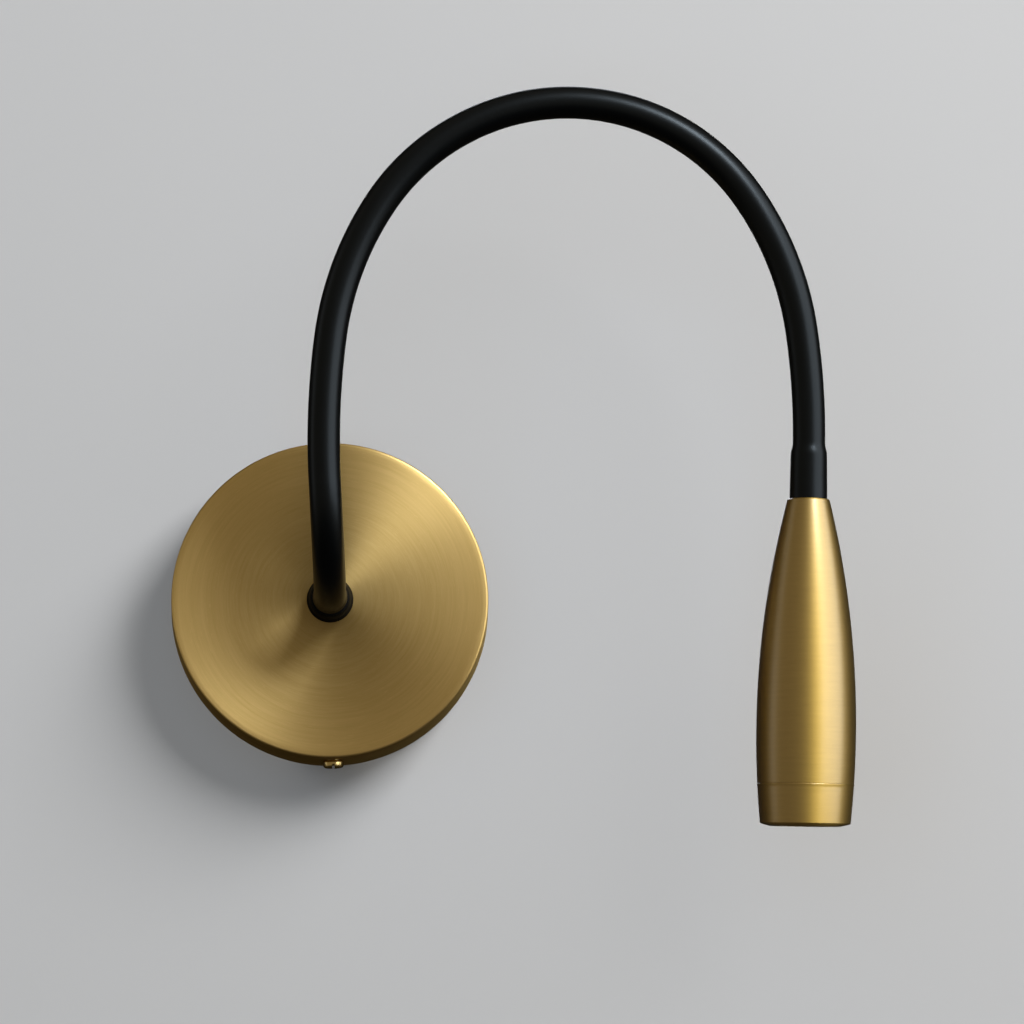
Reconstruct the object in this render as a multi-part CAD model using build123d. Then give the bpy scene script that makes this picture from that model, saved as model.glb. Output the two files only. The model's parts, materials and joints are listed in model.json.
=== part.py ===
from build123d import *
import math
import os

# Flexible wall lamp: a round wall canopy, a bendable sleeved neck and a turned spot head.
# Millimetres and degrees. The origin is the middle of the canopy on the wall plane, +Z is up,
# +X is to the right of someone who faces the wall, and the lamp stands out from the wall along -Y.

# Fits and clearances
FIT_CLEARANCE = 0.1
SEAT_CLEARANCE = 0.3
THREAD_CLEARANCE = 0.05

# Canopy, a spun cup that is open to the wall
CANOPY_DIAMETER = 120.0
CANOPY_DEPTH = 28.0
CANOPY_WALL = 1.2
CANOPY_EDGE_RADIUS = 1.6

# Wall bracket, a steel strap whose two ears are folded forward
BRACKET_WIDTH = 22.0
BRACKET_THICKNESS = 2.0
BRACKET_BEND_RADIUS = 2.0
BRACKET_EAR_MARGIN = 5.0
WALL_SLOT_SPACING = CANOPY_DIAMETER / 2
WALL_SLOT_WIDTH = 4.5
WALL_SLOT_LENGTH = 12.0
CABLE_ENTRY_DIAMETER = 16.0

# Two brass screws that hold the canopy to the ears
SIDE_SCREW_DIAMETER = 4.0
SIDE_SCREW_LENGTH = 10.0
SIDE_SCREW_SETBACK = 9.0
SIDE_SCREW_TWIST_ANGLE = 1.5
SIDE_SCREW_HOLE = 4.6
SIDE_SCREW_HEAD_DIAMETER = 6.4
SIDE_SCREW_HEAD_HEIGHT = 1.4
SIDE_SCREW_NECK_DIAMETER = 5.2
SIDE_SCREW_NECK_HEIGHT = 1.0

# Neck: silicone sleeve over a wound steel core, with the lamp cable inside
SLEEVE_DIAMETER = 12.0
SLEEVE_WALL = 1.6
CORE_WALL = 1.5
CABLE_DIAMETER = 4.6
BASE_FLARE_DIAMETER = 13.0
BASE_FLARE_LENGTH = 8.0
BASE_FLARE_TAPER = 3.0
HEAD_FLARE_DIAMETER = 13.8
HEAD_FLARE_LENGTH = 16.5
HEAD_FLARE_TAPER = 4.0

# Neck line: out of the canopy, up through the base bend, then over in an arch that leans off the wall
NECK_LEAN_ANGLE = 3.3
NECK_EXIT_LENGTH = 14.0
BASE_BEND_RADIUS = 40.0
BASE_BEND_ANGLE = 86.5
FIRST_JOINT_ANGLE = 36.5
ARCH_SPAN = 53.5
ARCH_ANGLES = (10.5, 26.0, 36.5, 37.5, 38.0, 26.5)
LAST_ARC_LENGTH = 41.0
LAST_ARC_ANGLE = 9.0
HEAD_RUN_LENGTH = 22.0

# Where the neck bends, its lengths meet in ball-shaped cuts
JOINT_BALL_RADIUS = 8.5
JOINT_GAP = 0.3

# Fittings on the two ends of the core
FITTING_THREAD = 10.0
FITTING_SOCKET_DEPTH = 6.0
BASE_FLANGE_DIAMETER = 13.0
BASE_FLANGE_THICKNESS = 1.5
BASE_STUD_LENGTH = 11.0
HEAD_SPIGOT_LENGTH = 11.0
COLLAR_DIAMETER = 16.0
COLLAR_LENGTH = 7.5
COLLAR_EDGE_RADIUS = 1.2
NUT_ACROSS_FLATS = 16.0
NUT_THICKNESS = 5.0
WASHER_DIAMETER = 18.0
WASHER_THICKNESS = 1.0
WASHER_TEETH = 10
WASHER_TOOTH_WIDTH = 1.6
WASHER_TOOTH_DEPTH = 1.4

# Lamp head, turned to one long arc from its top to its mouth
HEAD_LENGTH = 119.5
HEAD_TOP_DIAMETER = 15.6
HEAD_MAX_DIAMETER = 36.6
HEAD_MAX_AT = 85.0
HEAD_EDGE_CHAMFER = 0.4
RING_LENGTH = 14.8
RING_GROOVE = 0.35
HEAD_BORE_DEPTH = 13.0
UPPER_CAVITY_DIAMETER = 16.0
UPPER_CAVITY_END = 40.0
LOWER_CAVITY_DIAMETER = 24.0
CAVITY_CONE = 6.0
RING_SPIGOT_DIAMETER = 28.0
RING_SPIGOT_LENGTH = 6.6
RING_BORE = 25.0
MOUTH_LIP = 1.5
MOUTH_APERTURE = 20.0
MOUTH_FUNNEL = 26.0

# Light engine in the head
CARRIER_THICKNESS = 4.0
THERMAL_PAD_THICKNESS = 0.5
THERMAL_PAD_DIAMETER = 19.0
BOARD_DIAMETER = 20.0
BOARD_THICKNESS = 1.6
BOARD_HOLE_CIRCLE = 17.4
EMITTER_SIDE = 3.5
EMITTER_BASE = 0.9
EMITTER_DOME_RADIUS = 1.3
LENS_FLANGE_DIAMETER = 24.0
LENS_FLANGE_THICKNESS = 1.5
LENS_DIAMETER = 20.6
LENS_BACK_DIAMETER = 9.0
LENS_POCKET_DIAMETER = 5.0
LENS_POCKET_DEPTH = 4.0
LENS_EMITTER_GAP = 0.6
HOLDER_FOOT_DIAMETER = 13.6
HOLDER_WALL = 1.3
SEAL_SECTION = 1.0
SEAL_DIAMETER = 22.0
BOARD_SCREW_DIAMETER = 1.6
BOARD_SCREW_LENGTH = 4.5
BOARD_SCREW_HEAD_DIAMETER = 2.4
BOARD_SCREW_HEAD_HEIGHT = 1.0
LEAD_DIAMETER = 1.2
LEAD_HOLE = 1.8
SOLDER_DIAMETER = 1.8
SOLDER_HEIGHT = 0.7

# Driver and wiring in the canopy
DRIVER_WIDTH = 24.0
DRIVER_LENGTH = 46.0
DRIVER_HEIGHT = 17.0
DRIVER_EDGE_RADIUS = 1.5
DRIVER_SIDE_GAP = 6.0
DRIVER_PAD_THICKNESS = 1.0
DRIVER_PAD_MARGIN = 3.0
TERMINAL_WIDTH = 18.0
TERMINAL_HEIGHT = 12.0
TERMINAL_DEPTH = 11.0
TERMINAL_EAR_GAP = 5.5
TERMINAL_BORE = 3.2
TERMINAL_POLE_SPACING = 6.0
TERMINAL_EDGE_RADIUS = 0.8
TERMINAL_SCREW_DIAMETER = 2.6
TERMINAL_SCREW_HEIGHT = 1.2
TERMINAL_SCREW_SPACING = 12.0
TERMINAL_FIXING_DIAMETER = 2.0
EARTH_SCREW_DIAMETER = 4.0
EARTH_SCREW_LENGTH = 5.0
EARTH_SCREW_HEAD_DIAMETER = 7.6
EARTH_SCREW_HEAD_HEIGHT = 2.4
EARTH_CUP_DIAMETER = 9.0
EARTH_CUP_THICKNESS = 0.8
EARTH_EAR_GAP = 8.5
CANOPY_LEAD_DIAMETER = 1.8
CANOPY_LEAD_SPACING = 6.0
CANOPY_LEAD_BEND = 3.5

# Sizes that follow from the ones above
canopy_radius = CANOPY_DIAMETER / 2
canopy_inner_radius = canopy_radius - CANOPY_WALL
canopy_front = -CANOPY_DEPTH
canopy_inner_front = canopy_front + CANOPY_WALL
side_screw_line = Pos(0, canopy_front + SIDE_SCREW_SETBACK, 0) * Rot(Y=-SIDE_SCREW_TWIST_ANGLE)

sleeve_radius = SLEEVE_DIAMETER / 2
sleeve_bore = sleeve_radius - SLEEVE_WALL
core_radius = sleeve_bore - FIT_CLEARANCE
core_bore = core_radius - CORE_WALL
cable_radius = CABLE_DIAMETER / 2
base_flare_radius = BASE_FLARE_DIAMETER / 2
head_flare_radius = HEAD_FLARE_DIAMETER / 2
base_socket_radius = base_flare_radius - SLEEVE_WALL - FIT_CLEARANCE
head_socket_radius = head_flare_radius - SLEEVE_WALL - FIT_CLEARANCE
socket_bore = core_radius + THREAD_CLEARANCE
thread_radius = FITTING_THREAD / 2
thread_hole = thread_radius + THREAD_CLEARANCE

head_top_radius = HEAD_TOP_DIAMETER / 2
head_max_radius = HEAD_MAX_DIAMETER / 2
head_swell = head_max_radius - head_top_radius
head_arc_radius = (HEAD_MAX_AT**2 + head_swell**2) / (2 * head_swell)
ring_start = HEAD_LENGTH - RING_LENGTH
carrier_end = ring_start - RING_SPIGOT_LENGTH
carrier_start = carrier_end - CARRIER_THICKNESS
board_start = carrier_end + THERMAL_PAD_THICKNESS
board_end = board_start + BOARD_THICKNESS
lip_start = HEAD_LENGTH - MOUTH_LIP
lens_end = lip_start - SEAL_SECTION
flange_start = lens_end - LENS_FLANGE_THICKNESS
lens_start = board_end + EMITTER_BASE + EMITTER_DOME_RADIUS + LENS_EMITTER_GAP

pieces = {}


# General helpers

def turned(points):
    """A turned piece about the local Z axis, from corners given as radius and height."""
    outline = Polyline(*[(radius, 0, height) for radius, height in points], close=True)
    return revolve(make_face(outline), Axis.Z)


def rod(radius, start, end):
    """A round bar on the local Z axis between two heights."""
    return Pos(0, 0, start) * Cylinder(radius, end - start, align=(Align.CENTER, Align.CENTER, Align.MIN))


def ring(outer, inner, start, end):
    """A round ring on the local Z axis between two heights."""
    return turned([(inner, start), (outer, start), (outer, end), (inner, end)])


def block(x_range, y_range, z_range):
    """A box between pairs of limits."""
    size = [high - low for low, high in (x_range, y_range, z_range)]
    middle = [(low + high) / 2 for low, high in (x_range, y_range, z_range)]
    return Pos(*middle) * Box(*size)


def lead(points, diameter, bend):
    """A wire along straight runs joined by tangent arcs."""
    path = FilletPolyline(*points, radius=bend)
    section = Plane(origin=path @ 0, z_dir=path % 0) * Circle(diameter / 2)
    return sweep(section, path)


# The neck's line: a plane stands square across it, its Z along the neck and its X to the inside of the bend

def advance(start, length, turn):
    """The plane at the end of an arc, or of a straight run where the turn is zero."""
    if turn == 0:
        return Plane(origin=start.origin + start.z_dir * length, x_dir=start.x_dir, z_dir=start.z_dir)
    angle = math.radians(turn)
    radius = length / angle
    inward = start.x_dir * (radius * (1 - math.cos(angle)))
    onward = start.z_dir * (radius * math.sin(angle))
    return Plane(
        origin=start.origin + inward + onward,
        x_dir=start.x_dir * math.cos(angle) - start.z_dir * math.sin(angle),
        z_dir=start.z_dir * math.cos(angle) + start.x_dir * math.sin(angle),
    )


def base_arc_length(turn):
    """Length of the base bend over a given turn."""
    return BASE_BEND_RADIUS * math.radians(turn)


lean = math.radians(NECK_LEAN_ANGLE)
lean_up = Vector(-math.sin(lean), 0, math.cos(lean))
lean_side = Vector(math.cos(lean), 0, math.sin(lean))

exit_plane = Plane(origin=(0, canopy_front, 0), x_dir=lean_up, z_dir=(0, -1, 0))
base_plane = advance(exit_plane, NECK_EXIT_LENGTH, 0)
second_turn = BASE_BEND_ANGLE - FIRST_JOINT_ANGLE
first_joint = advance(base_plane, base_arc_length(FIRST_JOINT_ANGLE), FIRST_JOINT_ANGLE)
base_end = advance(first_joint, base_arc_length(second_turn), second_turn)
arch_plane = Plane(origin=base_end.origin, x_dir=lean_side, z_dir=base_end.z_dir)

# Each length of the neck is one arc: its start plane, its length and its turn
arcs = [
    (base_plane, base_arc_length(FIRST_JOINT_ANGLE), FIRST_JOINT_ANGLE),
    (first_joint, base_arc_length(second_turn), second_turn),
]
for arch_turn in ARCH_ANGLES:
    arcs.append((arch_plane, ARCH_SPAN, arch_turn))
    arch_plane = advance(arch_plane, ARCH_SPAN, arch_turn)
arcs.append((arch_plane, LAST_ARC_LENGTH, LAST_ARC_ANGLE))
head_run_plane = advance(arch_plane, LAST_ARC_LENGTH, LAST_ARC_ANGLE)
head_plane = advance(head_run_plane, HEAD_RUN_LENGTH, 0)

joint_planes = [start for start, length, turn in arcs[1:]]
neck_lengths = len(arcs)


def bent_tube(start, length, turn, outer, inner):
    """A tube or rod along one arc of the neck's line."""
    section = Circle(outer)
    if inner > 0:
        section = section - Circle(inner)
    pivot = Axis(start.origin + start.x_dir * (length / math.radians(turn)), start.y_dir)
    return revolve(start * section, pivot, turn)


def joint_ball(number, radius):
    """A ball about the neck's joint of that number."""
    return Pos(*joint_planes[number - 1].origin) * Sphere(radius)


def neck_length(number, outer, inner):
    """One length of a neck layer: a cup cut where it starts and a ball cut where it ends."""
    start, length, turn = arcs[number - 1]
    body = bent_tube(start, length, turn, outer, inner)
    if number > 1:
        body = body - joint_ball(number - 1, JOINT_BALL_RADIUS + JOINT_GAP)
    if number < neck_lengths:
        next_start, next_length, next_turn = arcs[number]
        reach = JOINT_BALL_RADIUS + outer
        stub = bent_tube(next_start, reach, next_turn * reach / next_length, outer, inner)
        body = body + (stub & joint_ball(number, JOINT_BALL_RADIUS))
    return body


def flared_end(flare_radius, flare_length, taper_length, run_length):
    """The sleeve's straight end, stretched over a fitting: local Z runs from its rim along the neck."""
    taper_end = flare_length + taper_length
    flare_bore = flare_radius - SLEEVE_WALL
    return turned([
        (flare_bore, 0),
        (flare_radius, 0),
        (flare_radius, flare_length),
        (sleeve_radius, taper_end),
        (sleeve_radius, run_length),
        (sleeve_bore, run_length),
        (sleeve_bore, taper_end),
        (flare_bore, flare_length),
    ])


# Straight ends: both are seen from the rim, so the one at the head looks back up the neck
base_seat = exit_plane.location
head_back = Plane(origin=head_plane.origin, x_dir=head_plane.x_dir, z_dir=-head_plane.z_dir)
head_seat = head_back.location
base_socket_floor = BASE_FLANGE_THICKNESS + BASE_FLARE_LENGTH - FITTING_SOCKET_DEPTH
head_socket_floor = HEAD_FLARE_LENGTH - FITTING_SOCKET_DEPTH

base_sleeve_run = NECK_EXIT_LENGTH - BASE_FLANGE_THICKNESS
base_sleeve = flared_end(base_flare_radius, BASE_FLARE_LENGTH, BASE_FLARE_TAPER, base_sleeve_run)
head_sleeve = flared_end(head_flare_radius, HEAD_FLARE_LENGTH, HEAD_FLARE_TAPER, HEAD_RUN_LENGTH)
base_core = ring(core_radius, core_bore, base_socket_floor, NECK_EXIT_LENGTH)
head_core = ring(core_radius, core_bore, head_socket_floor, HEAD_RUN_LENGTH)
base_cable = rod(cable_radius, -BASE_STUD_LENGTH, NECK_EXIT_LENGTH)
head_cable = rod(cable_radius, -HEAD_SPIGOT_LENGTH, HEAD_RUN_LENGTH)

sleeve_ends = (Pos(0, canopy_front - BASE_FLANGE_THICKNESS, 0) * Rot(X=90) * base_sleeve, head_seat * head_sleeve)
core_ends = (base_seat * base_core, head_seat * head_core)
cable_ends = (base_seat * base_cable, head_seat * head_cable)
layers = (
    ("neck_sleeve", sleeve_radius, sleeve_bore, sleeve_ends),
    ("neck_core", core_radius, core_bore, core_ends),
    ("neck_cable", cable_radius, 0, cable_ends),
)
for layer_name, layer_outer, layer_inner, (base_piece, head_piece) in layers:
    for number in range(1, neck_lengths + 1):
        layer = neck_length(number, layer_outer, layer_inner)
        if number == 1:
            layer = layer + base_piece
        if number == neck_lengths:
            layer = layer + head_piece
        pieces[f"{layer_name}_{number}"] = layer


# Canopy and its fastening to the wall

def canopy_cover():
    """Spun cup with a rounded front edge, a middle hole for the neck and two side holes for its screws."""
    cup = turned([(0, 0), (canopy_radius, 0), (canopy_radius, CANOPY_DEPTH), (0, CANOPY_DEPTH)])
    front_edge = cup.edges().filter_by(GeomType.CIRCLE).sort_by(Axis.Z)[-1]
    cup = fillet(front_edge, CANOPY_EDGE_RADIUS)
    hollow = rod(canopy_inner_radius, 0, CANOPY_DEPTH - CANOPY_WALL)
    inner_edge = hollow.edges().filter_by(GeomType.CIRCLE).sort_by(Axis.Z)[-1]
    hollow = fillet(inner_edge, max(CANOPY_EDGE_RADIUS - CANOPY_WALL, CANOPY_EDGE_RADIUS / 4))
    cup = Rot(X=90) * (cup - hollow - rod(thread_hole, 0, CANOPY_DEPTH))
    return cup - side_screw_line * Cylinder(SIDE_SCREW_HOLE / 2, CANOPY_DIAMETER)


ear_outer = math.sqrt(canopy_inner_radius**2 - (BRACKET_WIDTH / 2)**2) - SEAT_CLEARANCE
ear_inner = ear_outer - BRACKET_THICKNESS
ear_front = canopy_front + SIDE_SCREW_SETBACK - BRACKET_EAR_MARGIN
terminal_z = ear_inner - TERMINAL_EAR_GAP - TERMINAL_HEIGHT / 2
earth_z = EARTH_EAR_GAP + EARTH_CUP_DIAMETER / 2 - ear_inner


def wall_bracket():
    """Folded strap with wall slots, a cable hole, tapped ears and holes for the earth and terminal screws."""
    profile = make_face(Polyline(
        (0, ear_front, ear_outer),
        (0, 0, ear_outer),
        (0, 0, -ear_outer),
        (0, ear_front, -ear_outer),
        (0, ear_front, -ear_inner),
        (0, -BRACKET_THICKNESS, -ear_inner),
        (0, -BRACKET_THICKNESS, ear_inner),
        (0, ear_front, ear_inner),
        close=True,
    ))
    strap = extrude(profile, BRACKET_WIDTH / 2, both=True, dir=(1, 0, 0))
    along = strap.edges().filter_by(Axis.X)
    outer_bends = along.filter_by_position(Axis.Y, 0, 0)
    strap = fillet(outer_bends, BRACKET_BEND_RADIUS + BRACKET_THICKNESS)
    along = strap.edges().filter_by(Axis.X)
    inner_bends = along.filter_by_position(Axis.Y, -BRACKET_THICKNESS, -BRACKET_THICKNESS)
    inner_bends = inner_bends.filter_by_position(Axis.Z, -ear_inner, ear_inner).sort_by(Axis.Z)
    strap = fillet([inner_bends[0], inner_bends[-1]], BRACKET_BEND_RADIUS)

    across = Plane(origin=(0, BRACKET_THICKNESS, 0), x_dir=(0, 0, 1), z_dir=(0, -1, 0))
    holes = Circle(CABLE_ENTRY_DIAMETER / 2)
    for place in (-WALL_SLOT_SPACING / 2, WALL_SLOT_SPACING / 2):
        holes += Pos(place, 0) * SlotOverall(WALL_SLOT_LENGTH, WALL_SLOT_WIDTH)
    holes += Pos(terminal_z, 0) * Circle(TERMINAL_FIXING_DIAMETER / 2 + THREAD_CLEARANCE)
    holes += Pos(earth_z, 0) * Circle(EARTH_SCREW_DIAMETER / 2 + THREAD_CLEARANCE)
    strap = strap - extrude(across * holes, 3 * BRACKET_THICKNESS)
    return strap - side_screw_line * Cylinder(SIDE_SCREW_DIAMETER / 2 + THREAD_CLEARANCE, CANOPY_DIAMETER)


def canopy_screws():
    """Two brass screws with stepped heads, one at the bottom of the canopy and one at the top."""
    neck_end = SIDE_SCREW_NECK_HEIGHT
    head_end = neck_end + SIDE_SCREW_HEAD_HEIGHT
    screw = turned([
        (0, -SIDE_SCREW_LENGTH),
        (SIDE_SCREW_DIAMETER / 2, -SIDE_SCREW_LENGTH),
        (SIDE_SCREW_DIAMETER / 2, 0),
        (SIDE_SCREW_NECK_DIAMETER / 2, 0),
        (SIDE_SCREW_NECK_DIAMETER / 2, neck_end),
        (SIDE_SCREW_HEAD_DIAMETER / 2, neck_end),
        (SIDE_SCREW_HEAD_DIAMETER / 2, head_end),
        (0, head_end),
    ])
    head_edge = screw.edges().filter_by(GeomType.CIRCLE).sort_by(Axis.Z)[-1]
    screw = fillet(head_edge, SIDE_SCREW_HEAD_HEIGHT / 3)
    screw = Pos(0, 0, canopy_radius + THREAD_CLEARANCE) * screw
    return Compound([side_screw_line * screw, side_screw_line * Rot(Y=180) * screw])


# Fittings that hold the neck to the canopy and to the head

def base_ferrule():
    """Threaded stud with a flange outside the canopy and a socket for the core."""
    socket_end = BASE_FLANGE_THICKNESS + BASE_FLARE_LENGTH
    return base_seat * turned([
        (cable_radius + FIT_CLEARANCE, -BASE_STUD_LENGTH),
        (thread_radius, -BASE_STUD_LENGTH),
        (thread_radius, 0),
        (BASE_FLANGE_DIAMETER / 2, 0),
        (BASE_FLANGE_DIAMETER / 2, BASE_FLANGE_THICKNESS),
        (base_socket_radius, BASE_FLANGE_THICKNESS),
        (base_socket_radius, socket_end),
        (socket_bore, socket_end),
        (socket_bore, base_socket_floor),
        (cable_radius + FIT_CLEARANCE, base_socket_floor),
    ])


def base_collar():
    """Black trim ring with a rounded front edge, round the foot of the sleeve."""
    collar = ring(COLLAR_DIAMETER / 2, base_flare_radius + FIT_CLEARANCE, 0, COLLAR_LENGTH)
    rim = collar.edges().filter_by(GeomType.CIRCLE).group_by(Axis.Z)[-1].sort_by(SortBy.RADIUS)[-1]
    return base_seat * fillet(rim, COLLAR_EDGE_RADIUS)


def base_washer():
    """Toothed lock washer behind the canopy's front."""
    start = CANOPY_WALL
    washer = ring(WASHER_DIAMETER / 2, thread_hole, start, start + WASHER_THICKNESS)
    notch = block(
        (WASHER_DIAMETER / 2 - WASHER_TOOTH_DEPTH, WASHER_DIAMETER),
        (-WASHER_TOOTH_WIDTH / 2, WASHER_TOOTH_WIDTH / 2),
        (0, start + 2 * WASHER_THICKNESS),
    )
    for tooth in range(WASHER_TEETH):
        washer = washer - Rot(Z=360 * tooth / WASHER_TEETH) * notch
    return inside_canopy * washer


def base_nut():
    """Hexagon nut that clamps the neck's stud to the canopy."""
    start = CANOPY_WALL + WASHER_THICKNESS
    hexagon = RegularPolygon(NUT_ACROSS_FLATS / 2, 6, major_radius=False) - Circle(thread_hole)
    nut = extrude(Pos(0, 0, start) * hexagon, NUT_THICKNESS)
    bevel = turned([
        (0, start),
        (NUT_ACROSS_FLATS / 2, start),
        (NUT_ACROSS_FLATS, start + NUT_ACROSS_FLATS / 4),
        (NUT_ACROSS_FLATS, start + NUT_THICKNESS - NUT_ACROSS_FLATS / 4),
        (NUT_ACROSS_FLATS / 2, start + NUT_THICKNESS),
        (0, start + NUT_THICKNESS),
    ])
    return inside_canopy * (nut & bevel)


# Seen from the canopy's front face towards the wall
inside_canopy = Plane(origin=(0, canopy_front, 0), x_dir=(1, 0, 0), z_dir=(0, 1, 0)).location


def head_ferrule():
    """Fitting on the neck's upper end: a socket for the core and a thread that screws into the head."""
    return head_seat * turned([
        (cable_radius + FIT_CLEARANCE, -HEAD_SPIGOT_LENGTH),
        (thread_radius, -HEAD_SPIGOT_LENGTH),
        (thread_radius, 0),
        (head_socket_radius, 0),
        (head_socket_radius, HEAD_FLARE_LENGTH),
        (socket_bore, HEAD_FLARE_LENGTH),
        (socket_bore, head_socket_floor),
        (cable_radius + FIT_CLEARANCE, head_socket_floor),
    ])


# Lamp head: local Z runs from the top of the shell down to its mouth

def head_radius(height):
    """Outer radius of the head at a distance below its top."""
    offset = height - HEAD_MAX_AT
    return head_max_radius - head_arc_radius + math.sqrt(head_arc_radius**2 - offset**2)


def head_arc(start, end):
    """The head's outer arc between two distances below its top."""
    heights = (start, (start + end) / 2, end)
    return ThreePointArc(*[(head_radius(height), 0, height) for height in heights])


def arc_turned(start, end, inner_points):
    """A turned piece whose outside follows the head's arc; the other corners run from its end to its start."""
    outside = head_arc(start, end)
    corners = [(radius, 0, height) for radius, height in inner_points]
    inside = Polyline(outside @ 1, *corners, outside @ 0)
    return revolve(make_face(outside + inside), Axis.Z)


def head_shell():
    """Turned shell with a tapped top, a stepped hollow and a threaded mouth for the front ring."""
    upper = UPPER_CAVITY_DIAMETER / 2
    lower = LOWER_CAVITY_DIAMETER / 2
    mouth = RING_SPIGOT_DIAMETER / 2
    return arc_turned(HEAD_EDGE_CHAMFER, ring_start - RING_GROOVE, [
        (head_radius(ring_start) - RING_GROOVE, ring_start),
        (mouth, ring_start),
        (mouth, carrier_start),
        (lower, carrier_start),
        (lower, UPPER_CAVITY_END + CAVITY_CONE),
        (upper, UPPER_CAVITY_END),
        (upper, HEAD_BORE_DEPTH + CAVITY_CONE),
        (thread_hole, HEAD_BORE_DEPTH),
        (thread_hole, 0),
        (head_radius(0) - HEAD_EDGE_CHAMFER, 0),
    ])


def front_ring():
    """Screw-on ring that closes the head, clamps the light engine and holds the lens behind its lip."""
    spigot = RING_SPIGOT_DIAMETER / 2 - FIT_CLEARANCE
    bore = RING_BORE / 2
    return arc_turned(ring_start + RING_GROOVE, HEAD_LENGTH - HEAD_EDGE_CHAMFER, [
        (head_radius(HEAD_LENGTH) - HEAD_EDGE_CHAMFER, HEAD_LENGTH),
        (MOUTH_FUNNEL / 2, HEAD_LENGTH),
        (MOUTH_APERTURE / 2, lip_start + MOUTH_LIP / 4),
        (MOUTH_APERTURE / 2, lip_start),
        (bore, lip_start),
        (bore, carrier_end),
        (spigot, carrier_end),
        (spigot, ring_start),
        (head_radius(ring_start) - RING_GROOVE, ring_start),
    ])


def engine_holes(radius, start, end, sideways):
    """Two holes on the board's hole circle, along X or along Y."""
    place = BOARD_HOLE_CIRCLE / 2
    spots = ((0, place), (0, -place)) if sideways else ((place, 0), (-place, 0))
    holes = [Pos(x, y, 0) * rod(radius, start, end) for x, y in spots]
    return holes[0] + holes[1]


def led_carrier():
    """Aluminium disc that carries the board and takes its heat to the shell."""
    disc = rod(RING_SPIGOT_DIAMETER / 2 - FIT_CLEARANCE, carrier_start, carrier_end)
    disc = disc - engine_holes(LEAD_HOLE / 2, carrier_start, carrier_end, False)
    screw_hole = BOARD_SCREW_DIAMETER / 2 + THREAD_CLEARANCE
    return disc - engine_holes(screw_hole, carrier_start, carrier_end, True)


def thermal_pad():
    """Soft pad between the board and its carrier."""
    pad = rod(THERMAL_PAD_DIAMETER / 2, carrier_end, board_start)
    pad = pad - engine_holes(LEAD_HOLE / 2, carrier_end, board_start, False)
    return pad - engine_holes(BOARD_SCREW_DIAMETER / 2 + THREAD_CLEARANCE, carrier_end, board_start, True)


def led_board():
    """Round metal-core board."""
    board = rod(BOARD_DIAMETER / 2, board_start, board_end)
    board = board - engine_holes(LEAD_HOLE / 2, board_start, board_end, False)
    return board - engine_holes(BOARD_SCREW_DIAMETER / 2 + THREAD_CLEARANCE, board_start, board_end, True)


def led_emitter():
    """Square emitter with a dome."""
    half = EMITTER_SIDE / 2
    base_end = board_end + EMITTER_BASE
    base = block((-half, half), (-half, half), (board_end, base_end))
    dome = Pos(0, 0, base_end) * Sphere(EMITTER_DOME_RADIUS)
    upper = rod(EMITTER_SIDE, base_end, base_end + 2 * EMITTER_DOME_RADIUS)
    return base + (dome & upper)


def board_screws():
    """Two small screws that hold the board to its carrier."""
    shank = engine_holes(BOARD_SCREW_DIAMETER / 2, board_end - BOARD_SCREW_LENGTH, board_end, True)
    head_end = board_end + BOARD_SCREW_HEAD_HEIGHT
    heads = engine_holes(BOARD_SCREW_HEAD_DIAMETER / 2, board_end, head_end, True)
    return Compound((shank + heads).solids())


def led_leads():
    """Two leads from the cable's end through the carrier to solder joints on the board."""
    cable_end = HEAD_SPIGOT_LENGTH
    place = BOARD_HOLE_CIRCLE / 2
    spread = cable_radius / 2
    knee = carrier_start - 2 * CAVITY_CONE
    wire = lead(
        [
            (spread, 0, cable_end),
            (spread, 0, UPPER_CAVITY_END),
            (place, 0, knee),
            (place, 0, board_end),
        ],
        LEAD_DIAMETER,
        CAVITY_CONE,
    )
    solder = Pos(place, 0, 0) * turned([
        (0, board_end),
        (SOLDER_DIAMETER / 2, board_end),
        (LEAD_DIAMETER / 2, board_end + SOLDER_HEIGHT),
        (0, board_end + SOLDER_HEIGHT),
    ])
    wire = wire + solder
    return Compound([wire, Rot(Z=180) * wire])


def lens_holder():
    """Black conical holder between the board and the lens flange."""
    foot = HOLDER_FOOT_DIAMETER / 2
    top = LENS_FLANGE_DIAMETER / 2
    return turned([
        (foot - HOLDER_WALL, board_end),
        (foot, board_end),
        (top, flange_start),
        (top - HOLDER_WALL, flange_start),
    ])


def lens():
    """Clear collimating lens: a cone with a pocket over the emitter and a flange at its front."""
    flange = LENS_FLANGE_DIAMETER / 2
    front = LENS_DIAMETER / 2
    back = LENS_BACK_DIAMETER / 2
    pocket = LENS_POCKET_DIAMETER / 2
    middle = ((front + back) / 2 + LENS_FLANGE_THICKNESS / 2, 0, (lens_start + flange_start) / 2)
    cone = ThreePointArc((back, 0, lens_start), middle, (front, 0, flange_start))
    outline = cone + Polyline(
        (front, 0, flange_start),
        (flange, 0, flange_start),
        (flange, 0, lens_end),
        (0, 0, lens_end),
        (0, 0, lens_start + LENS_POCKET_DEPTH),
        (pocket, 0, lens_start + LENS_POCKET_DEPTH),
        (pocket, 0, lens_start),
        (back, 0, lens_start),
    )
    return revolve(make_face(outline), Axis.Z)


def lens_seal():
    """Rubber ring between the lens and the mouth's lip."""
    section = Circle(SEAL_SECTION / 2 - THREAD_CLEARANCE)
    middle = Plane(origin=(SEAL_DIAMETER / 2, 0, lens_end + SEAL_SECTION / 2), x_dir=(1, 0, 0), z_dir=(0, -1, 0))
    return revolve(middle * section, Axis.Z)


# Driver and wiring in the canopy

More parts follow.
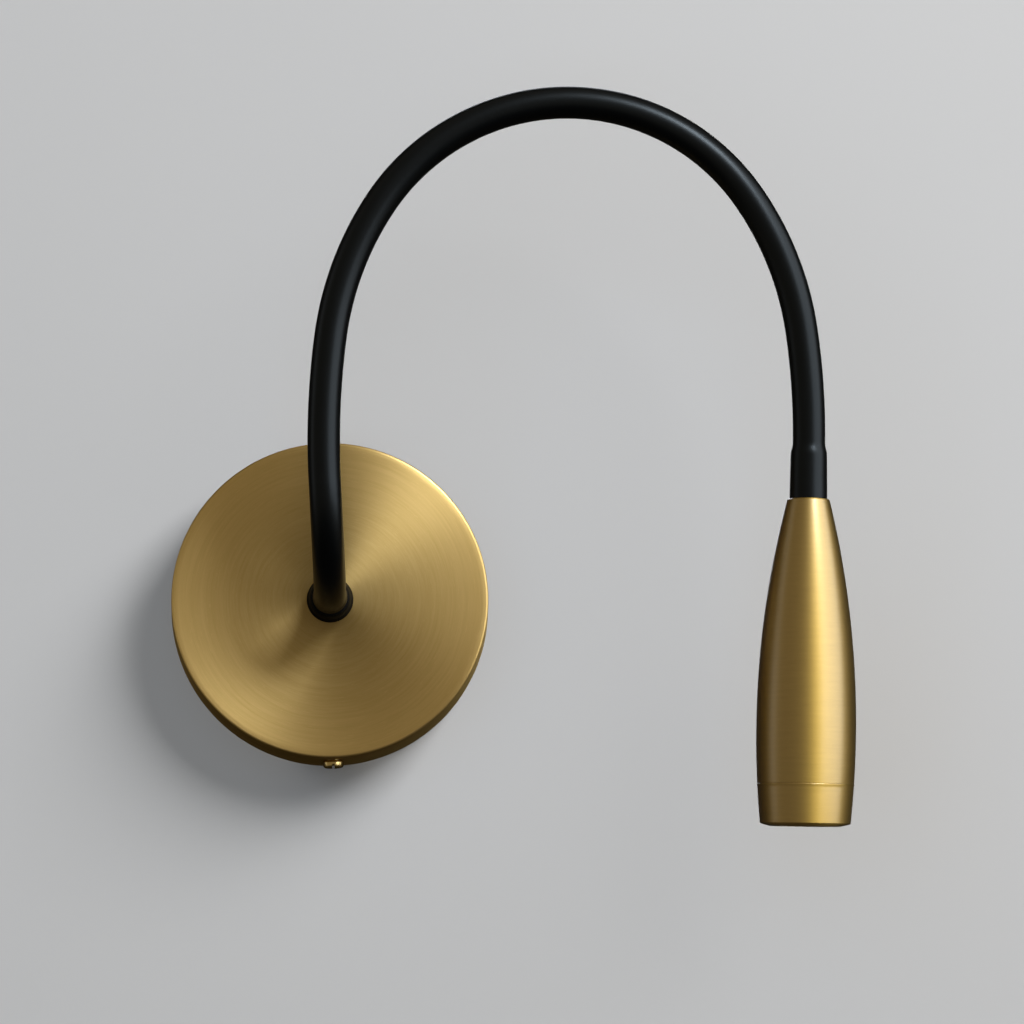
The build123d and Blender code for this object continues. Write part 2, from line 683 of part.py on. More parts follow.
driver_x = (BRACKET_WIDTH / 2 + DRIVER_SIDE_GAP, BRACKET_WIDTH / 2 + DRIVER_SIDE_GAP + DRIVER_WIDTH)
driver_y = (canopy_inner_front + DRIVER_PAD_THICKNESS, canopy_inner_front + DRIVER_PAD_THICKNESS + DRIVER_HEIGHT)
driver_z = (-DRIVER_LENGTH / 2, DRIVER_LENGTH / 2)
driver_middle_x = sum(driver_x) / 2
driver_middle_y = sum(driver_y) / 2
terminal_y = (-BRACKET_THICKNESS - TERMINAL_DEPTH, -BRACKET_THICKNESS)
terminal_middle_y = sum(terminal_y) / 2


def driver_case():
    """Potted driver with rounded edges."""
    case = block(driver_x, driver_y, driver_z)
    return fillet(case.edges().filter_by(Axis.Z), DRIVER_EDGE_RADIUS)


def driver_pad():
    """Adhesive pad that holds the driver to the canopy's front."""
    return block(
        (driver_x[0] + DRIVER_PAD_MARGIN, driver_x[1] - DRIVER_PAD_MARGIN),
        (canopy_inner_front, driver_y[0]),
        (driver_z[0] + DRIVER_PAD_MARGIN, driver_z[1] - DRIVER_PAD_MARGIN),
    )


def terminal_poles():
    """Heights of the terminal block's two poles."""
    return (terminal_z - TERMINAL_POLE_SPACING / 2, terminal_z + TERMINAL_POLE_SPACING / 2)


def terminal_block():
    """Two-pole terminal block with a fixing hole between its poles and wells for its screws."""
    half_width = TERMINAL_WIDTH / 2
    half_height = TERMINAL_HEIGHT / 2
    body = block((-half_width, half_width), terminal_y, (terminal_z - half_height, terminal_z + half_height))
    body = fillet(body.edges().filter_by(Axis.X), TERMINAL_EDGE_RADIUS)
    across = Plane(origin=(0, terminal_middle_y, 0), x_dir=(0, 1, 0), z_dir=(1, 0, 0))
    for pole in terminal_poles():
        wire_bore = across * Pos(0, pole) * Circle(TERMINAL_BORE / 2)
        body = body - extrude(wire_bore, TERMINAL_WIDTH, both=True)
        for well_x in (-TERMINAL_SCREW_SPACING / 2, TERMINAL_SCREW_SPACING / 2):
            well = Pos(well_x, terminal_y[0], pole) * Rot(X=90)
            body = body - well * rod(TERMINAL_SCREW_DIAMETER / 2 + FIT_CLEARANCE, -TERMINAL_SCREW_HEIGHT, TERMINAL_BORE)
    fixing = Pos(0, 0, terminal_z) * Rot(X=90)
    return body - fixing * rod(TERMINAL_FIXING_DIAMETER / 2 + FIT_CLEARANCE, 0, CANOPY_DEPTH)


def terminal_screws():
    """Clamp screws of the terminal block, two to each pole."""
    screws = []
    for pole in terminal_poles():
        for screw_x in (-TERMINAL_SCREW_SPACING / 2, TERMINAL_SCREW_SPACING / 2):
            place = Pos(screw_x, terminal_y[0], pole) * Rot(X=90)
            screws.append(place * rod(TERMINAL_SCREW_DIAMETER / 2, -TERMINAL_SCREW_HEIGHT, 0))
    return Compound(screws)


def terminal_mount_screw():
    """Screw through the terminal block into the bracket."""
    shank_end = -terminal_y[0]
    shank = rod(TERMINAL_FIXING_DIAMETER / 2, 0, shank_end)
    head = rod(TERMINAL_FIXING_DIAMETER, shank_end, shank_end + TERMINAL_FIXING_DIAMETER / 2)
    return Pos(0, 0, terminal_z) * Rot(X=90) * (shank + head)


def earth_screw():
    """Earth screw with its cup washer, on the lower half of the bracket."""
    cup_end = BRACKET_THICKNESS + EARTH_CUP_THICKNESS
    head_end = cup_end + EARTH_SCREW_HEAD_HEIGHT
    screw = turned([
        (0, head_end - EARTH_SCREW_HEAD_HEIGHT - EARTH_SCREW_LENGTH / 2),
        (EARTH_SCREW_DIAMETER / 2, head_end - EARTH_SCREW_HEAD_HEIGHT - EARTH_SCREW_LENGTH / 2),
        (EARTH_SCREW_DIAMETER / 2, BRACKET_THICKNESS),
        (EARTH_CUP_DIAMETER / 2, BRACKET_THICKNESS),
        (EARTH_CUP_DIAMETER / 2, cup_end),
        (EARTH_SCREW_HEAD_DIAMETER / 2, cup_end),
        (EARTH_SCREW_HEAD_DIAMETER / 2, head_end),
        (0, head_end),
    ])
    return Pos(0, 0, earth_z) * Rot(X=90) * screw


def driver_mains_leads():
    """Two leads from the terminal block to the driver's upper end."""
    leads = []
    for pole, side in zip(terminal_poles(), (-1, 1)):
        end_x = driver_middle_x + side * CANOPY_LEAD_SPACING / 2
        leads.append(lead(
            [
                (TERMINAL_WIDTH / 2, terminal_middle_y, pole),
                (end_x, terminal_middle_y, pole),
                (end_x, driver_middle_y, driver_z[1] + 2 * CANOPY_LEAD_BEND),
                (end_x, driver_middle_y, driver_z[1]),
            ],
            CANOPY_LEAD_DIAMETER,
            CANOPY_LEAD_BEND,
        ))
    return Compound(leads)


def driver_output_leads():
    """Two leads from the neck cable's end to the driver's lower end."""
    leads = []
    cable_end_y = canopy_front + BASE_STUD_LENGTH
    turn_y = (cable_end_y - BRACKET_THICKNESS) / 2
    low_z = driver_z[0] - 3 * CANOPY_LEAD_BEND
    for side in (-1, 1):
        start_x = side * cable_radius / 2
        end_x = driver_middle_x + side * CANOPY_LEAD_SPACING / 2
        end_z = low_z + side * CANOPY_LEAD_SPACING / 2
        leads.append(lead(
            [
                (start_x, cable_end_y, 0),
                (start_x, turn_y, 0),
                (start_x, turn_y, end_z),
                (end_x, driver_middle_y, end_z),
                (end_x, driver_middle_y, driver_z[0]),
            ],
            CANOPY_LEAD_DIAMETER,
            CANOPY_LEAD_BEND,
        ))
    return Compound(leads)


for make in (
    canopy_cover, wall_bracket, canopy_screws, base_ferrule, base_collar, base_washer, base_nut, head_ferrule,
    driver_case, driver_pad, terminal_block, terminal_screws, terminal_mount_screw, earth_screw,
    driver_mains_leads, driver_output_leads,
):
    pieces[make.__name__] = make()

for make in (
    head_shell, front_ring, led_carrier, thermal_pad, led_board, led_emitter, board_screws, led_leads,
    lens_holder, lens, lens_seal,
):
    pieces[make.__name__] = head_plane.location * make()

os.makedirs("parts", exist_ok=True)
for name, piece in pieces.items():
    export_step(piece, f"parts/{name}.step")

for number, plane in enumerate(joint_planes, start=1):
    centre = [round(value / 1000, 6) for value in plane.origin]
    print("joint", number, "centre m", centre, "in-plane", plane.x_dir, "normal", plane.y_dir)
print("head top m", [round(value / 1000, 6) for value in head_plane.origin], "axis", head_plane.z_dir)
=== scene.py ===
import json
import math

import bmesh
import bpy
from mathutils import Matrix, Vector


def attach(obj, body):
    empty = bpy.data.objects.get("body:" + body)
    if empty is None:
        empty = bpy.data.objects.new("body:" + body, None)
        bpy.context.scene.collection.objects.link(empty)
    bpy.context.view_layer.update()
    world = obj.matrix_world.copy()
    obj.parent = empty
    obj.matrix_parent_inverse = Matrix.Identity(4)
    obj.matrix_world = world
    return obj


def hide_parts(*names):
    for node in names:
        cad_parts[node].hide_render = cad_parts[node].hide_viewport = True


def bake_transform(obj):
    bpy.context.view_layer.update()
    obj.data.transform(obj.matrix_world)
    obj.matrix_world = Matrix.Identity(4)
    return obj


# Flexible wall lamp: round brushed canopy, bendable sleeved neck and turned spot head.
# Sizes of pieces are in millimetres and degrees and become metres as each mesh is made.
# Materials and lights count in metres.
# The origin is the middle of the canopy on the wall plane, +Z is up and the lamp stands out along -Y.

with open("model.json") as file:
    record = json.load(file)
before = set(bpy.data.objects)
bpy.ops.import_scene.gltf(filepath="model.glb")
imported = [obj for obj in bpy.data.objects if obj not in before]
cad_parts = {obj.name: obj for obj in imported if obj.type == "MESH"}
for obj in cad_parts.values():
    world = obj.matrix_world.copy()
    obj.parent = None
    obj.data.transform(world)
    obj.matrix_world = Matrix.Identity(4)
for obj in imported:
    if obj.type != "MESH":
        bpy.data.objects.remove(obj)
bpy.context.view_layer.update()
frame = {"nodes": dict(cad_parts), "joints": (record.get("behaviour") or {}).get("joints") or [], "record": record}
scene = bpy.context.scene
scene.view_settings.view_transform = "Standard"
nodes = frame["nodes"]
joints = frame["joints"]

MM = 0.001

# Fineness of the meshes; a point nearer than AXIS_RADIUS is on the axis, and PLACE_SLACK is for rounding
SHARP_ANGLE = 32.0
CORNER_STEPS = 5
LATHE_SIDES = 224
AXIS_RADIUS = 0.01
PLACE_SLACK = 0.0001

# Canopy and its screws
CANOPY_RADIUS = 60.0
CANOPY_DEPTH = 28.0
CANOPY_WALL = 1.2
CANOPY_EDGE = 1.1
CANOPY_ROLL = 5.0
CANOPY_ROLL_DROP = 0.05
CANOPY_ROLL_STEPS = 10
CANOPY_CORNER_STEPS = 8
CANOPY_INNER_EDGE = 0.4
CANOPY_RIM_EDGE = 0.3
CANOPY_HOLE = 5.05
SCREW_SETBACK = 9.0
SCREW_TWIST = 1.5
SCREW_LENGTH = 10.0
SCREW_RADIUS = 2.0
SCREW_NECK_RADIUS = 2.6
SCREW_NECK_HEIGHT = 1.0
SCREW_HEAD_RADIUS = 3.2
SCREW_HEAD_HEIGHT = 1.4
SCREW_EDGE = 0.35
SCREW_SLOT_WIDTH = 0.9
SCREW_SLOT_DEPTH = 0.6
SCREW_SIDES = 72

# Neck
NECK_EXIT = 14.0
LAST_ARC = 41.0
LAST_ARC_TURN = 9.0
HEAD_RUN = 22.0
SLEEVE_RADIUS = 6.0
SLEEVE_BORE = 4.4
CORE_RADIUS = 4.3
CORE_BORE = 2.8
CABLE_RADIUS = 2.3
BASE_FLANGE = 1.5
BASE_FLARE_RADIUS = 6.5
BASE_FLARE = 8.0
BASE_TAPER = 3.0
HEAD_FLARE_RADIUS = 6.72
HEAD_RIM_RADIUS = 6.95
HEAD_FLARE = 16.5
HEAD_TAPER = 4.0
CORE_BASE_START = 3.5
CORE_HEAD_END = 10.5
CABLE_BASE_END = -11.0
CABLE_HEAD_END = -11.0
RING_STEP = 0.9
TUBE_SIDES = 64

# Collar at the neck's foot
COLLAR_RADIUS = 8.0
COLLAR_BORE = 6.6
COLLAR_LENGTH = 7.5
COLLAR_STRAIGHT = 2.0
COLLAR_FOOT_EDGE = 0.2
COLLAR_STEPS = 12
COLLAR_SIDES = 128

# Head
HEAD_LENGTH = 119.5
HEAD_TOP_RADIUS = 7.8
HEAD_MAX_RADIUS = 18.3
HEAD_MAX_AT = 85.0
HEAD_CHAMFER = 0.4
RING_LENGTH = 14.8
RING_GROOVE = 0.4
SHOULDER_RISE = 0.12
SHOULDER_STEPS = 8
RING_SPIGOT_RADIUS = 14.0
RING_SPIGOT_LENGTH = 6.6
RING_BORE = 12.5
FIT = 0.1
SHELL_BORE = 5.05
SHELL_BORE_DEPTH = 13.0
UPPER_CAVITY_RADIUS = 8.0
UPPER_CAVITY_END = 40.0
LOWER_CAVITY_RADIUS = 12.0
CAVITY_CONE = 6.0
CARRIER_THICKNESS = 4.0
MOUTH_LIP = 1.5
MOUTH_APERTURE = 10.0
MOUTH_FUNNEL = 13.0
MOUTH_LAND = 0.375
MOUTH_EDGE = 0.2
HEAD_STEPS = 96
RING_STEPS = 16

# Lens
SEAL_SECTION = 1.0
LENS_FLANGE_RADIUS = 12.0
LENS_FLANGE = 1.5
LENS_FRONT_RADIUS = 10.3
LENS_BACK_RADIUS = 4.5
LENS_POCKET_RADIUS = 2.5
LENS_POCKET_DEPTH = 4.0
LENS_START = 103.5

# Camera, fitted to the photograph
CAMERA_PLACE = (0.0, -1716.94, -203.8)
CAMERA_YAW = 2.332
CAMERA_PITCH = 8.0
CAMERA_LENS = 158.2
CAMERA_SENSOR = 36.0

# Lines in turned and brushed metal: lines per metre across them, waves round them, and detail
FINE_LINES = (9000.0, 4.0, 4.0)
BROAD_BANDS = (900.0, 1.5, 2.0)
NICKS = (3200.0, 11.0, 1.0)
NICK_LEVELS = (0.66, 0.74)
TONE_LEVELS = (0.7, 1.3)
LINE_ROUGHNESS = 0.6
LINE_GLOSS_SPREAD = 0.04
LINE_RELIEF = 0.00004
QUARTER_TURN = 0.25
COAT_ROUGHNESS = 0.32
COAT_IOR = 1.82

# Mottling and grain of the other finishes
GRAINS_PER_PATCH = 12
PATCH_DETAIL = 3.0
PATCH_LEVELS = (-0.3, 1.3)
GRAIN_DETAIL = 5.0
GRAIN_GLOSS_SPREAD = 0.06
GRAIN_RELIEF = 0.00005

# Wall and room; the room fades from its front colour to its back colour over a range of Y, and of Z
WALL_SIZE = 6000.0
WALL_COLOUR = (0.7, 0.693, 0.706)
PAINT_SCALE = 6.0
PAINT_SPREAD = 1.02
ROOM_FRONT = (0.25, 0.222, 0.168)
ROOM_BACK = (0.03, 0.027, 0.022)
ROOM_TURN = (-0.1, 0.4)
ROOM_FLOOR = (-0.3, -0.65)

# Lights: azimuths run from the front towards +X
LIGHT_TARGET = Vector((0.06, -0.05, 0.03))
CARD_COLOUR = (0.86, 0.93, 1.0)
WALL_LIGHT = {
    "azimuth": 45.0,
    "elevation": 35.5,
    "distance": 2.5,
    "size": (1.1, 1.85),
    "radiance": 9.9,
    "colour": (0.923, 0.936, 0.925),
}
FILL_LIGHT = {
    "azimuth": -15.0,
    "elevation": 5.0,
    "distance": 3.0,
    "size": (3.0, 3.0),
    "radiance": 0.6,
    "colour": (0.48, 0.7, 1.0),
}
KEY_LIGHT = {
    "azimuth": 32.5,
    "elevation": 38.5,
    "distance": 3.0,
    "size": (0.85, 0.9),
    "radiance": 30.8,
    "colour": CARD_COLOUR,
}
SIDE_LIGHT = {
    "azimuth": 59.0,
    "elevation": 14.0,
    "distance": 2.8,
    "size": (3.0, 2.7),
    "radiance": 2.9,
    "colour": CARD_COLOUR,
}
LEFT_LIGHT = {
    "azimuth": -88.0,
    "elevation": 10.0,
    "distance": 2.8,
    "size": (0.9, 2.2),
    "radiance": 0.5,
    "colour": CARD_COLOUR,
}
BACK_LIGHT = {
    "azimuth": 180.0,
    "elevation": 28.0,
    "distance": 2.4,
    "size": (0.9, 1.6),
    "radiance": 3.6,
    "colour": (0.89, 0.935, 1.0),
}

# Sockets of a mix node that mixes colours
MIX_FACTOR = 0
MIX_FIRST = 6
MIX_SECOND = 7
MIX_RESULT = 2


# Mesh helpers

def make_object(name, points, faces):
    """A smooth-shaded mesh object with sharp creases, from points in millimetres."""
    mesh = bpy.data.meshes.new(name)
    mesh.from_pydata([Vector(point) * MM for point in points], [], faces)
    shape = bmesh.new()
    shape.from_mesh(mesh)
    bmesh.ops.recalc_face_normals(shape, faces=shape.faces)
    shape.to_mesh(mesh)
    shape.free()
    mesh.shade_smooth()
    mesh.set_sharp_from_angle(angle=math.radians(SHARP_ANGLE))
    made = bpy.data.objects.new(name, mesh)
    scene.collection.objects.link(made)
    return made


def rounded(corners, steps=CORNER_STEPS):
    """A closed outline whose corners with a third value get an arc about the centre of that rounding.

    Known fault: slerp returns unit vectors, so every arc has a radius of 1 mm and not the corner's own.
    """
    outline = []
    count = len(corners)
    for index, corner in enumerate(corners):
        here = Vector(corner[:2])
        if len(corner) == 2:
            outline.append(here)
            continue
        back = (Vector(corners[index - 1][:2]) - here).normalized()
        onward = (Vector(corners[(index + 1) % count][:2]) - here).normalized()
        half = back.angle(onward) / 2
        middle = here + (back + onward).normalized() * (corner[2] / math.sin(half))
        start = here + back * (corner[2] / math.tan(half)) - middle
        end = here + onward * (corner[2] / math.tan(half)) - middle
        for step in range(steps + 1):
            share = step / steps
            outline.append(middle + start.slerp(end, share))
    return outline


def lathe(name, outline, sides=LATHE_SIDES):
    """A closed turned piece about its local Z axis, from an outline of radius and height."""
    points = []
    rings = []
    for radius, height in outline:
        if radius < AXIS_RADIUS:
            rings.append([len(points)])
            points.append((0, 0, height))
            continue
        rings.append(list(range(len(points), len(points) + sides)))
        for side in range(sides):
            angle = 2 * math.pi * side / sides
            points.append((radius * math.cos(angle), radius * math.sin(angle), height))
    faces = []
    for index, ring in enumerate(rings):
        other = rings[(index + 1) % len(rings)]
        for side in range(sides):
            after = (side + 1) % sides
            if len(ring) > 1 and len(other) > 1:
                faces.append((ring[side], other[side], other[after], ring[after]))
            elif len(other) > 1:
                faces.append((ring[0], other[side], other[after]))
            elif len(ring) > 1:
                faces.append((ring[side], other[0], ring[after]))
    return make_object(name, points, faces)


def placed(made, origin, axis):
    """Puts a turned piece at a point in millimetres, with its local Z along an axis."""
    onward = Vector(axis).normalized()
    sideways = (Vector((1, 0, 0)) - onward * onward.x).normalized()
    turn = Matrix((sideways, onward.cross(sideways), onward)).transposed()
    made.matrix_world = Matrix.Translation(Vector(origin) * MM) @ turn.to_4x4()
    return made


def smooth(share):
    """A smooth step from 0 to 1."""
    share = min(max(share, 0.0), 1.0)
    return share * share * (3 - 2 * share)


# Neck line, from the joints' places: arcs that run into each other

def arc_to(start, heading, end):
    """The arc that leaves start along a heading and ends at a point."""
    chord = end - start
    half_turn = heading.angle(chord)
    radius = chord.length / (2 * math.sin(half_turn))
    inward = (chord.normalized() - heading * math.cos(half_turn)).normalized()
    return start, heading, inward, 2 * half_turn * radius, 2 * half_turn


def along(span, distance):
    """Point and heading at a distance along a span."""
    start, heading, inward, length, turn = span
    if turn == 0:
        return start + heading * distance, heading
    angle = turn * distance / length
    radius = length / turn
    point = start + heading * (radius * math.sin(angle)) + inward * (radius * (1 - math.cos(angle)))
    return point, heading * math.cos(angle) + inward * math.sin(angle)


exit_point = Vector((0, -CANOPY_DEPTH, 0))
exit_heading = Vector((0, -1, 0))
spans = [(exit_point, exit_heading, Vector((0, 0, 1)), NECK_EXIT, 0)]
for joint in joints:
    from_point, from_heading = along(spans[-1], spans[-1][3])
    spans.append(arc_to(from_point, from_heading, Vector(joint["pos_m"]) / MM))
from_point, from_heading = along(spans[-1], spans[-1][3])
_, first_heading, first_inward, _, last_turn = spans[-1]
inward = first_inward * math.cos(last_turn) - first_heading * math.sin(last_turn)
spans.append((from_point, from_heading, inward, LAST_ARC, math.radians(LAST_ARC_TURN)))
from_point, from_heading = along(spans[-1], spans[-1][3])
spans.append((from_point, from_heading, inward, HEAD_RUN, 0))
head_top, head_axis = along(spans[-1], HEAD_RUN)

span_ends = [sum(span[3] for span in spans[:count + 1]) for count in range(len(spans))]
neck_end = span_ends[-1]
joint_places = span_ends[1:len(joints) + 1]


def neck_place(distance):
    """Point and heading of the neck's line at a distance from the canopy's front."""
    for span, end in zip(spans, span_ends):
        if distance <= end + PLACE_SLACK:
            return along(span, distance - end + span[3])
    return along(spans[-1], distance - neck_end + HEAD_RUN)


def sleeve_radius(distance):
    """Outer radius of the sleeve, which is stretched over the fittings at both ends."""
    from_base = distance - BASE_FLANGE
    if from_base < BASE_FLARE + BASE_TAPER:
        narrow = smooth((from_base - BASE_FLARE) / BASE_TAPER)
        return BASE_FLARE_RADIUS + (SLEEVE_RADIUS - BASE_FLARE_RADIUS) * narrow
    from_head = neck_end - distance
    widen = smooth((HEAD_FLARE + HEAD_TAPER - from_head) / HEAD_TAPER)
    rim = max(0.0, 1 - from_head / HEAD_FLARE)
    flare = HEAD_FLARE_RADIUS + (HEAD_RIM_RADIUS - HEAD_FLARE_RADIUS) * rim
    return SLEEVE_RADIUS + (flare - SLEEVE_RADIUS) * widen


def sleeve_bore(distance):
    """Inner radius of the sleeve."""
    return sleeve_radius(distance) - SLEEVE_RADIUS + SLEEVE_BORE


def tube(name, places, outer, inner):
    """A closed tube or rod along the neck: places are distances, outer and inner give radii there."""
    points = []
    rings = {"outer": [], "inner": []}
    for place in places:
        middle, heading, side = neck_frames[place]
        across = heading.cross(side)
        for skin, radius in (("outer", outer(place)), ("inner", inner(place))):
            if radius == 0:
                continue
            rings[skin].append(list(range(len(points), len(points) + TUBE_SIDES)))
            for step in range(TUBE_SIDES):
                angle = 2 * math.pi * step / TUBE_SIDES
                sideways = side * (radius * math.cos(angle))
                upwards = across * (radius * math.sin(angle))
                points.append(middle + sideways + upwards)
    faces = []
    bands = []
    for skin in rings.values():
        bands += zip(skin, skin[1:])
    if rings["inner"]:
        bands += [(rings["outer"][0], rings["inner"][0]), (rings["outer"][-1], rings["inner"][-1])]
    else:
        faces += [rings["outer"][0], rings["outer"][-1]]
    for ring, other in bands:
        for step in range(TUBE_SIDES):
            after = (step + 1) % TUBE_SIDES
            faces.append((ring[step], other[step], other[after], ring[after]))
    return make_object(name, points, faces)


def steps_between(start, end):
    """Distances from start to end, about a ring step apart."""
    count = max(2, round((end - start) / RING_STEP))
    return [start + (end - start) * step / count for step in range(count + 1)]


# Each neck piece spans one joint, from the middle of the length before it to the middle of the one after
cuts = [(before + after) / 2 for before, after in zip(joint_places, joint_places[1:])]
layers = (
    ("sleeve", BASE_FLANGE, neck_end, sleeve_radius, sleeve_bore),
    ("core", CORE_BASE_START, neck_end - CORE_HEAD_END, lambda place: CORE_RADIUS, lambda place: CORE_BORE),
    ("cable", CABLE_BASE_END, neck_end - CABLE_HEAD_END, lambda place: CABLE_RADIUS, lambda place: 0),
)
layer_places = {}
for layer, start, end, _, _ in layers:
    limits = [start] + cuts + [end]
    layer_places[layer] = [steps_between(low, high) for low, high in zip(limits, limits[1:])]

neck_frames = {}
side = Vector((1, 0, 0))
for place in sorted({place for pieces in layer_places.values() for piece in pieces for place in piece}):
    point, heading = neck_place(place)
    side = (side - heading * side.dot(heading)).normalized()
    neck_frames[place] = (point, heading, side)


# Materials

def node_adder(tree):
    """A function that adds a node to a tree, with its settings, its values and its links."""
    def add(kind, inputs=None, **settings):
        node = tree.nodes.new(kind)
        for key, value in settings.items():
            setattr(node, key, value)
        for key, value in (inputs or {}).items():
            if isinstance(value, bpy.types.NodeSocket):
                tree.links.new(value, node.inputs[key])
            else:
                node.inputs[key].default_value = value
        return node

    return add


def new_material(name):
    """A material with an empty node tree, and a function that adds a node to it."""
    material = bpy.data.materials.new(name)
    material.use_nodes = True
    material.node_tree.nodes.clear()
    return material, node_adder(material.node_tree)


def finish_material(add, shader):
    """Links the shader to the material's output."""
    add("ShaderNodeOutputMaterial", {"Surface": shader})


def mixed_colour(add, factor, first, second):
    """Colour between two, by a factor socket."""
    inputs = {MIX_FACTOR: factor, MIX_FIRST: (*first, 1), MIX_SECOND: (*second, 1)}
    return add("ShaderNodeMix", inputs, data_type="RGBA").outputs[MIX_RESULT]


def ranged(add, value, low, high):
    """A socket's 0 to 1 value mapped to a range."""
    return add("ShaderNodeMapRange", {"Value": value, "To Min": low, "To Max": high}).outputs[0]


def levels(add, value, low, high):
    """A socket's value between two levels mapped to 0 to 1."""
    return add("ShaderNodeMapRange", {"Value": value, "From Min": low, "From Max": high}).outputs[0]


def turned_place(add):
    """Radius and height about the local Z axis, and the direction round it, as sockets."""
    place = add("ShaderNodeTexCoord").outputs["Object"]
    parts = add("ShaderNodeSeparateXYZ", {"Vector": place})
    flat = add("ShaderNodeCombineXYZ", {"X": parts.outputs["X"], "Y": parts.outputs["Y"]})
    radius = add("ShaderNodeVectorMath", {0: flat.outputs[0]}, operation="LENGTH").outputs["Value"]
    direction = add("ShaderNodeVectorMath", {0: flat.outputs[0]}, operation="NORMALIZE").outputs["Vector"]
    return radius, parts.outputs["Z"], direction


def scaled(add, value, scale):
    """A socket's value times a number."""
    return add("ShaderNodeMath", {0: value, 1: scale}, operation="MULTIPLY").outputs[0]


def ring_noise(add, across, direction, across_scale, around_scale, detail):
    """Noise drawn out round the local Z axis, as a tool or a brush leaves it."""
    around = add("ShaderNodeSeparateXYZ", {"Vector": direction}).outputs
    vector = add("ShaderNodeCombineXYZ", {
        "X": scaled(add, across, across_scale),
        "Y": scaled(add, around["X"], around_scale),
        "Z": scaled(add, around["Y"], around_scale),
    }).outputs[0]
    noise = add("ShaderNodeTexNoise", {
        "Vector": vector,
        "Scale": 1.0,
        "Detail": detail,
        "Roughness": LINE_ROUGHNESS,
    })
    return noise.outputs["Fac"]


def plain_noise(add, scale, detail=PATCH_DETAIL):
    """Noise in the piece's own space, with a scale per metre."""
    place = add("ShaderNodeTexCoord").outputs["Object"]
    return add("ShaderNodeTexNoise", {"Vector": place, "Scale": scale, "Detail": detail}).outputs["Fac"]


def turned_metal(name, dark, light, edge, rough, anisotropy, relief, use_height, coat, painted_centre_shade=1.0):
    """Brushed or turned metal: fine lines round the local Z axis, in colour, gloss and relief.

    The centre shade argument is the share of its colour that the metal keeps at the axis, rising to all of it at
    the canopy's rim: painted shade, darker towards the middle where the neck and collar shade the face.
    """
    material, add = new_material(name)
    radius, height, direction = turned_place(add)
    across = height if use_height else radius
    fine = ring_noise(add, across, direction, *FINE_LINES)
    broad = ring_noise(add, across, direction, *BROAD_BANDS)
    nicks = levels(add, ring_noise(add, across, direction, *NICKS), *NICK_LEVELS)
    lines = add("ShaderNodeMath", {0: fine, 1: broad}, operation="ADD").outputs[0]
    tone = levels(add, lines, *TONE_LEVELS)
    tone = add("ShaderNodeMath", {0: tone, 1: nicks}, operation="ADD").outputs[0]
    colour = mixed_colour(add, tone, dark, light)
    # Painted shade: the colour darkens towards the axis, where the neck and collar shade the canopy's face
    if painted_centre_shade < 1:
        share = add("ShaderNodeMapRange", {"Value": radius, "From Max": CANOPY_RADIUS * MM, "To Min": painted_centre_shade})
        painted_shade_inputs = {0: colour, "Scale": share.outputs[0]}
        colour = add("ShaderNodeVectorMath", painted_shade_inputs, operation="SCALE").outputs[0]
    bump = add("ShaderNodeBump", {"Strength": relief, "Distance": LINE_RELIEF, "Height": fine}).outputs[0]
    tangent = add("ShaderNodeTangent", direction_type="RADIAL", axis="Z").outputs[0]
    shader = add("ShaderNodeBsdfPrincipled", {
        "Base Color": colour,
        "Metallic": 1.0,
        "Roughness": ranged(add, fine, rough - LINE_GLOSS_SPREAD, rough + LINE_GLOSS_SPREAD),
        "Anisotropic": anisotropy,
        "Anisotropic Rotation": QUARTER_TURN,
        "Tangent": tangent,
        "Specular Tint": (*edge, 1),
        "Coat Weight": coat,
        "Coat Roughness": COAT_ROUGHNESS,
        "Coat IOR": COAT_IOR,
        "Normal": bump,
    })
    finish_material(add, shader.outputs[0])
    return material


def mottled(name, dark, light, metallic, rough, grain, relief, **more):
    """Cast, moulded or plated surface: soft mottling in colour and gloss, and a fine grain."""
    material, add = new_material(name)
    patches = plain_noise(add, grain / GRAINS_PER_PATCH)
    speckle = plain_noise(add, grain, GRAIN_DETAIL)
    colour = mixed_colour(add, ranged(add, patches, *PATCH_LEVELS), dark, light)
    bump = add("ShaderNodeBump", {"Strength": relief, "Distance": GRAIN_RELIEF, "Height": speckle}).outputs[0]
    inputs = {
        "Base Color": colour,
        "Metallic": metallic,
        "Roughness": ranged(add, speckle, rough - GRAIN_GLOSS_SPREAD, rough + GRAIN_GLOSS_SPREAD),
        "Normal": bump,
    }
    inputs.update(more)
    finish_material(add, add("ShaderNodeBsdfPrincipled", inputs).outputs[0])
    return material


canopy_brass = turned_metal(
    "canopy_brass",
    dark=(0.645, 0.435, 0.15),
    light=(0.735, 0.508, 0.198),
    edge=(0.05, 0.035, 0.02),
    rough=0.39,
    anisotropy=0.69,
    relief=0.1,
    use_height=False,
    coat=0.0,
    # painted shade, darker towards the canopy's middle
    painted_centre_shade=0.55,
)
head_brass = turned_metal(
    "head_brass",
    dark=(0.52, 0.325, 0.05),
    light=(0.57, 0.36, 0.062),
    edge=(0.05, 0.035, 0.02),
    rough=0.59,
    anisotropy=0.7,
    relief=0.05,
    use_height=True,
    coat=1.0,
)
screw_brass = turned_metal(
    "screw_brass",
    dark=(0.6, 0.43, 0.16),
    light=(0.75, 0.56, 0.26),
    edge=(0.5, 0.4, 0.25),
    rough=0.25,
    anisotropy=0.4,
    relief=0.1,
    use_height=True,
    coat=0.0,
)
